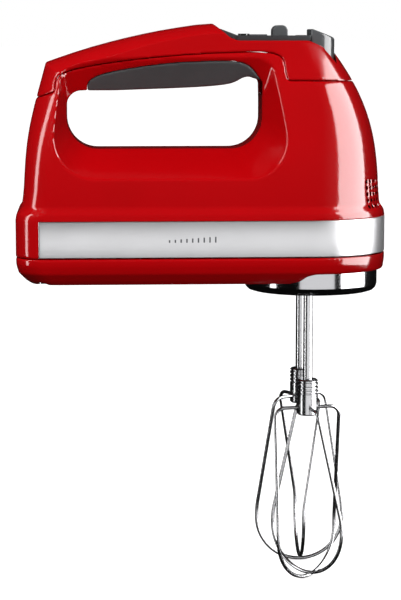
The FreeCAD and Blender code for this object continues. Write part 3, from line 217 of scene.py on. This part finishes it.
# %% A function that builds one finish
def finish(label, colour, roughness, metallic=0.0, coat=0.0, marks=0.04, grain=None, grain_scale=1000.0,
           grain_depth=0.0, tint=None, mark_scale=60.0, **sockets):
    """A Principled material with uneven gloss, an optional second tint and an optional fine grain."""
    material = bpy.data.materials.new(label)
    material.use_nodes = True
    tree = material.node_tree
    shader = tree.nodes["Principled BSDF"]
    shader.inputs["Base Color"].default_value = (*colour, 1)
    shader.inputs["Metallic"].default_value = metallic
    shader.inputs["Coat Weight"].default_value = coat
    for word, value in sockets.items():
        shader.inputs[word.replace("_", " ").title().replace("Ior", "IOR")].default_value = value
    gloss = tree.nodes.new("ShaderNodeGroup")
    gloss.node_tree = MARKS
    gloss.inputs["Base"].default_value = roughness - marks / 2
    gloss.inputs["Strength"].default_value = marks
    gloss.inputs["Scale"].default_value = mark_scale
    tree.links.new(gloss.outputs["Value"], shader.inputs["Roughness"])
    if tint:
        patches = tree.nodes.new("ShaderNodeGroup")
        patches.node_tree = MARKS
        patches.inputs["Base"].default_value = -1.0
        patches.inputs["Strength"].default_value = 3.0
        patches.inputs["Scale"].default_value = mark_scale / 2
        mix = tree.nodes.new("ShaderNodeMix")
        mix.data_type = "RGBA"
        mix.inputs["A"].default_value = (*colour, 1)
        mix.inputs["B"].default_value = (*tint, 1)
        tree.links.new(patches.outputs["Value"], mix.inputs["Factor"])
        tree.links.new(mix.outputs["Result"], shader.inputs["Base Color"])
    if grain:
        texture = tree.nodes.new("ShaderNodeGroup")
        texture.node_tree = grain
        texture.inputs["Scale"].default_value = grain_scale
        bump = tree.nodes.new("ShaderNodeBump")
        bump.inputs["Strength"].default_value = 1.0
        bump.inputs["Distance"].default_value = grain_depth
        tree.links.new(texture.outputs["Height"], bump.inputs["Height"])
        tree.links.new(bump.outputs["Normal"], shader.inputs["Normal"])
    return material


# %% The mixer's finishes
red_gloss = finish("red_gloss", (0.56, 0.0008, 0.003), 0.13, coat=0.35, marks=0.03,
                   tint=(0.53, 0.0007, 0.0025), grain=STIPPLE, grain_scale=90, grain_depth=0.00002)
grey_rubber = finish("grey_rubber", (0.085, 0.088, 0.091), 0.46, marks=0.08, tint=(0.070, 0.073, 0.076),
                     grain=STIPPLE, grain_scale=4500, grain_depth=0.00004)
brushed_band = finish("brushed_band", (0.50, 0.50, 0.51), 0.34, metallic=1.0, marks=0.08,
                      grain=HAIRLINES, grain_scale=9000, grain_depth=0.00002, mark_scale=40)
mirror_chrome = finish("mirror_chrome", (0.31, 0.31, 0.32), 0.12, metallic=1.0, marks=0.03)
polished_steel = finish("polished_steel", (0.40, 0.40, 0.41), 0.24, metallic=1.0, marks=0.05)
panel_grey = finish("panel_grey", (0.055, 0.058, 0.062), 0.34, marks=0.06, tint=(0.048, 0.051, 0.054),
                    grain=STIPPLE, grain_scale=6000, grain_depth=0.00002)
button_grey = finish("button_grey", (0.115, 0.12, 0.125), 0.22, coat=0.4, marks=0.05)
switch_grey = finish("switch_grey", (0.105, 0.11, 0.115), 0.30, marks=0.06)
# painted shade: the vent walls are red like the shell; this dark red with little specular stands in for
# the shade inside the holes
vent_painted_shade = finish("vent_painted_shade", (0.06, 0.002, 0.002), 0.75, marks=0.1, specular_ior_level=0.1)
lens_black = finish("lens_black", (0.012, 0.013, 0.014), 0.07, coat=1.0, marks=0.02)
mark_grey = finish("mark_grey", (0.10, 0.10, 0.11), 0.45, marks=0.05)
gland_rubber = finish("gland_rubber", (0.018, 0.018, 0.019), 0.55, marks=0.1, grain=STIPPLE,
                      grain_scale=3500, grain_depth=0.00005)
print("finishes:", len(bpy.data.materials))

# %% The finishes of the pieces inside, by the record's slots
inner_finishes = {
    "core_steel": finish("core_steel", (0.22, 0.23, 0.24), 0.45, metallic=1.0, marks=0.12),
    "copper": finish("copper_wire", (0.55, 0.20, 0.09), 0.28, metallic=1.0, marks=0.08,
                     grain=STIPPLE, grain_scale=2500, grain_depth=0.0001),
    "bronze": finish("bronze_bearing", (0.36, 0.22, 0.09), 0.38, metallic=1.0, marks=0.08),
    "grey_nylon": finish("grey_nylon", (0.30, 0.30, 0.29), 0.48, marks=0.06, grain=STIPPLE,
                         grain_scale=3000, grain_depth=0.00003),
    "brush_brass": finish("brush_brass", (0.58, 0.42, 0.16), 0.30, metallic=1.0, marks=0.08),
    "carbon": finish("carbon_block", (0.02, 0.02, 0.022), 0.60, marks=0.1),
    "board_green": finish("board_green", (0.02, 0.12, 0.05), 0.35, coat=0.3, marks=0.05),
    "switch_black": finish("switch_black", (0.02, 0.02, 0.022), 0.35, marks=0.06),
    "capacitor_film": finish("capacitor_film", (0.45, 0.28, 0.04), 0.30, coat=0.3, marks=0.05),
    "bright_steel": polished_steel,
    "black_rubber": gland_rubber,
}
slot_of = {part["node"]: part["material_slot"] for part in frame["record"]["subparts"]}
for node, piece in frame["nodes"].items():
    if slot_of.get(node) in inner_finishes:
        piece.data.materials.clear()
        piece.data.materials.append(inner_finishes[slot_of[node]])
print("slots:", sorted(set(slot_of.values())))

# %% [markdown]
# ## The red shells
#
# Moulded plastic never has a knife edge.  A copy of each CAD shell is merged into one closed skin and
# remeshed on a fine grid, and a few passes of smoothing round every ridge by about a millimetre.  That
# soft ridge is what catches the thin line of light round the hand's window.

# %% Copies of CAD shapes, with soft or bevelled edges
def copy_of(node, label):
    """A merged copy of a CAD node, free to be changed."""
    take(frame["nodes"][node])
    bpy.ops.object.duplicate()
    piece = name_new(label)
    piece.parent = None
    piece.data.materials.clear()
    if piece.data.has_custom_normals:
        bpy.ops.mesh.customdata_custom_splitnormals_clear()
    edit()
    bpy.ops.mesh.select_all(action="SELECT")
    bpy.ops.mesh.remove_doubles(threshold=0.001 * MM)
    edit(False)
    return piece


def softened(node, label, grid, passes, keep=1.0):
    """A copy with every edge rounded: remeshed on a grid, smoothed, and thinned to a share of faces."""
    piece = copy_of(node, label)
    apply(piece, "REMESH", mode="VOXEL", voxel_size=grid)
    apply(piece, "SMOOTH", factor=0.5, iterations=passes)
    if keep < 1:
        apply(piece, "DECIMATE", ratio=keep)
    take(piece)
    bpy.ops.object.shade_smooth()
    return piece


def bevelled(node, label, width, segments=3):
    """A copy whose sharp edges get an even bevel."""
    piece = copy_of(node, label)
    edit()
    bpy.ops.mesh.select_all(action="SELECT")
    bpy.ops.mesh.dissolve_limited(angle_limit=math.radians(1.0))
    edit(False)
    apply(piece, "BEVEL", width=width, segments=segments, limit_method="ANGLE",
          angle_limit=math.radians(40))
    return settle(piece)


def cut(piece, cutter, solver="EXACT"):
    """Take the cutter's shape out of the piece and remove the cutter."""
    apply(piece, "BOOLEAN", operation="DIFFERENCE", object=cutter, solver=solver, material_mode="TRANSFER")
    bpy.data.objects.remove(cutter)
    return piece


SHELL_GRID = 0.8 * MM
FINE_GRID = 0.7 * MM
SHELL_PASSES = 4
HOUSING_KEEP = 0.42
housing = softened("motor_housing", "housing_shell", SHELL_GRID, SHELL_PASSES, keep=HOUSING_KEEP)
cover = softened("top_cover", "cover_shell", FINE_GRID, SHELL_PASSES)
base = softened("base_cover", "base_shell", SHELL_GRID, SHELL_PASSES)
for shell in (housing, cover, base):
    shell.data.materials.append(red_gloss)

# %% [markdown]
# ## The vents
#
# Five rows of small round holes run round the nose and across the rear.  A hole is one short cylinder,
# turned to its place and joined with the others into one cutter, so that the shell is cut once.  The
# cutter hands a painted shade to the walls of the holes: a dark red with almost no shine, standing in for
# the shade deep inside them, where the real walls are the same red as the shell.

# %% Cut the vents
VENT_RADIUS = 1.1 * MM
VENT_PITCH = 3.4 * MM
VENT_FIRST_RISE = 5.9 * MM
VENT_ROWS = 5
VENT_STEP_DEGREES = 5.6
NOSE_COLUMNS, REAR_COLUMNS = 7, 4
VENT_REAR_PITCH = 4.5 * MM
VENT_PIN_LENGTH = 16 * MM
VENT_REACH_IN, VENT_REAR_IN = 6 * MM, 5 * MM
SPINDLE_X = sum(corner[0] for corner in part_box("left_spindle")) / 2
REAR_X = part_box("motor_housing")[0][0]
SKIRT_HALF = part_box("motor_housing")[1][1]


def vent_pin(place_at, turn):
    """One short cylinder that will become a hole."""
    bpy.ops.mesh.primitive_cylinder_add(vertices=12, radius=VENT_RADIUS, depth=VENT_PIN_LENGTH,
                                        location=place_at, rotation=(0, math.pi / 2, turn))
    return bpy.context.object


pins = []
for row in range(VENT_ROWS):
    z = BAND_HIGH.z + VENT_FIRST_RISE + row * VENT_PITCH
    for column in range(-NOSE_COLUMNS, NOSE_COLUMNS + 1):
        turn = math.radians(column * VENT_STEP_DEGREES)
        reach = SKIRT_HALF - VENT_REACH_IN
        pins.append(vent_pin((SPINDLE_X + reach * math.cos(turn), reach * math.sin(turn), z), turn))
    for column in range(-REAR_COLUMNS, REAR_COLUMNS + 1):
        pins.append(vent_pin((REAR_X + VENT_REAR_IN, column * VENT_REAR_PITCH, z), 0))
bpy.ops.object.select_all(action="DESELECT")
for pin in pins:
    pin.select_set(True)
bpy.context.view_layer.objects.active = pins[0]
bpy.ops.object.join()
vent_cutter = name_new("vent_cutter")
# the cutter carries the painted shade onto the walls of the holes
vent_cutter.data.materials.append(vent_painted_shade)
cut(housing, vent_cutter)
take(housing)
bpy.ops.object.shade_smooth_by_angle(angle=math.radians(35))
place(housing, "housing", "red_shell", "motor_housing")
place(cover, "housing", "red_shell", "top_cover")
place(base, "housing", "red_shell", "base_cover")

# %% [markdown]
# ## Grip, band and gland
#
# The grip is soft rubber with round edges, so it is softened like the shells.  The band is stamped
# steel with a crisp narrow bevel, which shows as a bright line along both edges.

# %% The grip and the band
GRIP_PASSES = 5
BAND_BEVEL = 0.45 * MM
grip = softened("handle_grip", "rubber_grip", FINE_GRID, GRIP_PASSES)
grip.data.materials.append(grey_rubber)
place(grip, "housing", "grip_rubber", "handle_grip")

band = bevelled("trim_band", "steel_band", BAND_BEVEL)
band.data.materials.append(brushed_band)
place(band, "housing", "band_steel", "trim_band")

# %% [markdown]
# ## The speed scale
#
# A row of nine small bars on the band stands for the nine speeds.  One bar is modelled as a slim block
# with rounded corners, copied along the row, stretched a little for each step, and joined.

# %% Nine bars on each side of the band
SCALE_STEPS = 9
SCALE_PITCH = 3.1 * MM
SCALE_MIDDLE_X, SCALE_FOOT = 8 * MM, 1.6 * MM
BAR_WIDTH, BAR_THICKNESS = 0.8 * MM, 0.08 * MM
BAR_HEIGHT, BAR_GROWTH = 1.4, 0.22
BAR_SUNK = 0.01 * MM
BAND_MIDDLE_Z = (BAND_LOW.z + BAND_HIGH.z) / 2


def scale_bars(side, label):
    """Nine bars of growing height, a hair proud of the band."""
    bars = []
    for step in range(SCALE_STEPS):
        height = (BAR_HEIGHT + BAR_GROWTH * step) * MM
        x = SCALE_MIDDLE_X - side * (step - (SCALE_STEPS - 1) / 2) * SCALE_PITCH
        foot_z = BAND_MIDDLE_Z - SCALE_FOOT
        bpy.ops.mesh.primitive_cube_add(size=1, location=(x, side * (BAND_HIGH.y - BAR_SUNK),
                                                          foot_z + height / 2))
        bpy.context.object.scale = (BAR_WIDTH, BAR_THICKNESS, height)
        bpy.ops.object.transform_apply(location=True, scale=True)
        edit()
        bpy.ops.mesh.select_all(action="SELECT")
        bpy.ops.mesh.bevel(offset=0.02 * MM, segments=1)
        edit(False)
        bars.append(bpy.context.object)
    bpy.ops.object.select_all(action="DESELECT")
    for bar in bars:
        bar.select_set(True)
    bpy.context.view_layer.objects.active = bars[0]
    bpy.ops.object.join()
    piece = settle(name_new(label))
    piece.data.materials.append(mark_grey)
    return place(piece, "housing", "band_steel")


scale_bars(-1, "right_speed_scale")
scale_bars(1, "left_speed_scale")

# %% [markdown]
# ## The collar
#
# The collar is a polished ring with a rolled lower edge.  The CAD node is exact, down to the normals
# that a mirror needs, so the node itself stays and gets the chrome finish.

# %% The chrome collar
collar = frame["nodes"]["beater_collar"]
collar.data.materials.clear()
collar.data.materials.append(mirror_chrome)
print("collar finish:", collar.data.materials[0].name)

# %% [markdown]
# ## The controls on the panel
#
# The panel is a dark moulded strip in the recess ahead of the handle.  On it sit the lens, two speed
# buttons and the power slide, and ahead of it the large eject button.

# %% Panel, lens and a rounded block for the buttons
PANEL_BEVEL, LENS_BEVEL = 0.5 * MM, 0.3 * MM
panel = bevelled("control_panel", "panel_strip", PANEL_BEVEL)
panel.data.materials.append(panel_grey)
place(panel, "housing", "panel_plastic", "control_panel")
lens = bevelled("display_lens", "lens_window", LENS_BEVEL)
lens.data.materials.append(lens_black)
place(lens, "housing", "lens", "display_lens")


def block(label, low, high, radius, segments=5, shape=None):
    """A block between two corners, shaped by an optional step in edit mode, then rounded."""
    low, high = Vector(low), Vector(high)
    bpy.ops.mesh.primitive_cube_add(size=1, location=(low + high) / 2)
    piece = name_new(label)
    piece.scale = high - low
    bpy.ops.object.transform_apply(location=True, scale=True)
    if shape:
        edit()
        shape(piece)
        edit(False)
    apply(piece, "BEVEL", width=radius, segments=segments, limit_method="ANGLE",
          angle_limit=math.radians(25))
    return settle(piece)


# %% [markdown]
# The eject button is a block whose top slopes down to the nose and whose front corners are round.  The
# front edge of its top is pulled down, then the two upright front edges get a wide bevel.

# %% The eject button
EJECT_SLOPE = 5.2 * MM
EJECT_CORNER = 9.5 * MM
EJECT_EDGE = 1.1 * MM


def slope_and_round(piece):
    front = max(corner.co.x for corner in piece.data.vertices)
    top = max(corner.co.z for corner in piece.data.vertices)
    pick(piece, lambda middle, along: abs(middle.x - front) < MM and abs(middle.z - top) < MM, "EDGE")
    bpy.ops.transform.translate(value=(0, 0, -EJECT_SLOPE))
    pick(piece, lambda middle, along: abs(middle.x - front) < MM and abs(along.z) > 0.9, "EDGE")
    bpy.ops.mesh.bevel(offset=EJECT_CORNER, segments=10)


eject = block("eject_key", EJECT_LOW, EJECT_HIGH, EJECT_EDGE, shape=slope_and_round)
eject.data.materials.append(button_grey)
place(eject, "eject", "panel_plastic", "eject_button")

# %% [markdown]
# The power slide is a flat thumb tab with a round top.  The two speed buttons differ by feel: the rear
# one is a small round dome in a ring, the front one a low block with a dished top.

# %% The power slide and the speed buttons
TAB_EDGE, TAB_ROUND = 0.7 * MM, 3.2 * MM
BUTTON_EDGE, BUTTON_RIM, BUTTON_DISH = 0.5 * MM, 1.2 * MM, 0.5 * MM
DOME_STEPS = ((0.6, 0.0), (0.3, -0.5), (0.6, 0.35), (0.7, 0.15))
DOME_BEVEL = 0.25 * MM


def round_top(radius):
    """A shape step that rounds the two top edges that run across the mixer."""
    def step(piece):
        top = max(corner.co.z for corner in piece.data.vertices)
        pick(piece, lambda middle, along: abs(middle.z - top) < MM / 2 and abs(along.y) > 0.9, "EDGE")
        bpy.ops.mesh.bevel(offset=radius, segments=8)
    return step


def dish_top(thickness, depth):
    """A shape step that insets the top face and lowers it a little."""
    def step(piece):
        pick(piece, lambda middle, normal: normal.z > 0.9)
        bpy.ops.mesh.inset(thickness=thickness)
        bpy.ops.transform.translate(value=(0, 0, -depth))
    return step


tab = block("power_tab", *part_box("power_switch"), TAB_EDGE, shape=round_top(TAB_ROUND))
tab.data.materials.append(switch_grey)
place(tab, "power_switch", "panel_plastic", "power_switch")
faster = block("faster_button", *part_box("speed_up_button"), BUTTON_EDGE,
               shape=dish_top(BUTTON_RIM, BUTTON_DISH))
faster.data.materials.append(switch_grey)
place(faster, "speed_up", "panel_plastic", "speed_up_button")


def build_round_button(node, label):
    """A round button: a cylinder with a raised rim and a domed middle."""
    low, high = (Vector(corner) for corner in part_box(node))
    bpy.ops.mesh.primitive_cylinder_add(vertices=64, radius=(high.x - low.x) / 2, depth=high.z - low.z,
                                        location=(low + high) / 2)
    piece = name_new(label)
    edit()
    pick(piece, lambda middle, normal: normal.z > 0.9)
    for thickness, depth in DOME_STEPS:
        bpy.ops.mesh.inset(thickness=thickness * MM)
        bpy.ops.transform.translate(value=(0, 0, depth * MM))
    edit(False)
    apply(piece, "BEVEL", width=DOME_BEVEL, segments=3, limit_method="ANGLE",
          angle_limit=math.radians(40))
    return settle(piece)


slower = build_round_button("speed_down_button", "slower_button")
slower.data.materials.append(lens_black)
place(slower, "speed_down", "panel_plastic", "speed_down_button")

# %% [markdown]
# Behind the panel a thin grey liner climbs the slope of the handle.  It is a wedge: a block whose rear
# edges are lifted until they lie on the red slope.

# %% The liner behind the panel
RAMP_LENGTH = 9.7 * MM
RAMP_LIFT_TOP = 3.7 * MM
RAMP_LIFT_FOOT = 3.6 * MM
RAMP_LAP, RAMP_EDGE = 0.2 * MM, 0.4 * MM


def lift_rear(piece):
    rear = min(corner.co.x for corner in piece.data.vertices)
    middle_z = (PANEL_LOW.z + PANEL_HIGH.z) / 2
    for lift, upper in ((RAMP_LIFT_TOP, True), (RAMP_LIFT_FOOT, False)):
        pick(piece, lambda middle, along: abs(middle.x - rear) < MM / 10 and abs(along.y) > 0.9
             and (middle.z > middle_z) == upper, "EDGE")
        bpy.ops.transform.translate(value=(0, 0, lift))


ramp = block("panel_liner", (PANEL_LOW.x - RAMP_LENGTH, PANEL_LOW.y + MM, PANEL_LOW.z),
             (PANEL_LOW.x + RAMP_LAP, PANEL_HIGH.y - MM, PANEL_HIGH.z), RAMP_EDGE, shape=lift_rear)
ramp.data.materials.append(panel_grey)
place(ramp, "housing", "panel_plastic")

# %% [markdown]
# ## The studio
#
# The floor and the backdrop are pale and even.  A broad lamp above and to the left lights the red
# plastic.  Shine comes from cards: a tall one to the right draws the long highlight down the nose, and
# a wide one near the camera lies only on the metal, so that the red stays deep.

# %% The floor and the world
FLOOR_GAP = 0.4 * MM
FLOOR_GLOW = 0.62
FLOOR_SIZE, FLOOR_MIDDLE_Y = 80, 30
bpy.ops.mesh.primitive_plane_add(size=FLOOR_SIZE, location=(0, FLOOR_MIDDLE_Y, cad_box[0][2] - FLOOR_GAP))
floor = name_new("studio_floor")
floor_paint = finish("floor_paint", (0.93, 0.93, 0.93), 0.8, marks=0.05,
                     emission_color=(1, 1, 1, 1), emission_strength=FLOOR_GLOW)
floor.data.materials.append(floor_paint)
floor.visible_glossy = False
floor.visible_diffuse = False

world = bpy.data.worlds.new("studio_world")
bpy.context.scene.world = world
world.use_nodes = True
sky = world.node_tree
sky.nodes.clear()
CAMERA_WHITE = 1.0
SHINE_GREY = 0.006
AMBIENT_BELOW, AMBIENT_ABOVE = 0.10, 0.62
FADE_HALF_HEIGHT = 0.5


def background(strength):
    """A plain white background of one strength."""
    node = sky.nodes.new("ShaderNodeBackground")
    node.inputs["Color"].default_value = (1, 1, 1, 1)
    node.inputs["Strength"].default_value = strength
    return node


def lit_from_above():
    """A background that is dim below the mixer and bright above it."""
    direction = sky.nodes.new("ShaderNodeTexCoord")
    split = sky.nodes.new("ShaderNodeSeparateXYZ")
    fade = sky.nodes.new("ShaderNodeMapRange")
    fade.inputs["From Min"].default_value = -FADE_HALF_HEIGHT
    fade.inputs["From Max"].default_value = FADE_HALF_HEIGHT
    fade.inputs["To Min"].default_value = AMBIENT_BELOW
    fade.inputs["To Max"].default_value = AMBIENT_ABOVE
    node = background(AMBIENT_ABOVE)
    sky.links.new(direction.outputs["Generated"], split.inputs[0])
    sky.links.new(split.outputs["Z"], fade.inputs["Value"])
    sky.links.new(fade.outputs["Result"], node.inputs["Strength"])
    return node


path = sky.nodes.new("ShaderNodeLightPath")
ends = sky.nodes.new("ShaderNodeOutputWorld")
seen, shine, ambient = background(CAMERA_WHITE), background(SHINE_GREY), lit_from_above()
for mask, first, second in (("Is Glossy Ray", ambient, shine), ("Is Camera Ray", None, seen)):
    mix = sky.nodes.new("ShaderNodeMixShader")
    sky.links.new(path.outputs[mask], mix.inputs["Fac"])
    sky.links.new((first or previous).outputs[0], mix.inputs[1])
    sky.links.new(second.outputs[0], mix.inputs[2])
    previous = mix
sky.links.new(previous.outputs[0], ends.inputs["Surface"])
print("world mixes:", len(sky.nodes))

# %% Lamps and cards
metal_only = bpy.data.collections.new("metal_only")
for piece in (band, collar):
    metal_only.objects.link(piece)
for node, piece in frame["nodes"].items():
    if "beater_" in node and slot_of.get(node) == "bright_steel":
        metal_only.objects.link(piece)


def lamp(label, place_at, target, width, height, power, diffuse=True, glossy=True, only=None):
    """A rectangular soft lamp that faces a target."""
    data = bpy.data.lights.new(label, "AREA")
    data.shape = "RECTANGLE"
    data.size, data.size_y, data.energy = width, height, power
    piece = bpy.data.objects.new(label, data)
    bpy.context.scene.collection.objects.link(piece)
    piece.location = place_at
    piece.rotation_euler = (Vector(target) - Vector(place_at)).to_track_quat("-Z", "Y").to_euler()
    piece.visible_diffuse, piece.visible_glossy = diffuse, glossy
    piece.visible_camera = False
    if only:
        piece.light_linking.receiver_collection = only
    return piece


MIDDLE = (0.0, 0.0, -0.06)
lamp("key_lamp", (-0.9, -1.3, 1.5), MIDDLE, 1.2, 1.2, 26, glossy=False)
lamp("fill_lamp", (1.3, -1.2, 0.3), MIDDLE, 1.2, 1.2, 8, glossy=False)
lamp("nose_card", (1.15, -0.31, 0.16), (0.09, 0, -0.02), 1.15, 1.4, 46, diffuse=False)
lamp("rear_card", (-1.1, -0.35, 0.25), (-0.05, 0, -0.05), 0.25, 1.6, 9, diffuse=False)
lamp("front_card", (0.25, -1.9, -0.35), (0.0, 0, -0.1), 2.2, 0.9, 12, diffuse=False, only=metal_only)

# %% [markdown]
# ## The camera
#
# The camera stands a little over a metre to the side, at the height of the handle, and looks slightly
# down with a long lens.

# %% The camera
CAMERA_PLACE = Vector((-0.04965, -1.150, 0.01252))
CAMERA_TURN, CAMERA_DIP = math.radians(3.2), math.radians(7.2)
SENSOR_HEIGHT = 24.0
LENS_PER_HEIGHT = 3.455
bpy.ops.object.camera_add(location=CAMERA_PLACE)
camera = bpy.context.object
camera.name = "studio_camera"
view = Vector((math.sin(CAMERA_TURN) * math.cos(CAMERA_DIP), math.cos(CAMERA_TURN) * math.cos(CAMERA_DIP),
               -math.sin(CAMERA_DIP)))
camera.rotation_euler = view.to_track_quat("-Z", "Y").to_euler()
camera.data.sensor_fit = "VERTICAL"
camera.data.sensor_height = SENSOR_HEIGHT
camera.data.lens = SENSOR_HEIGHT * LENS_PER_HEIGHT
camera.data.dof.use_dof = False
bpy.context.scene.camera = camera
bpy.context.scene.view_settings.view_transform = "Standard"
print("lens, mm:", round(camera.data.lens, 1))
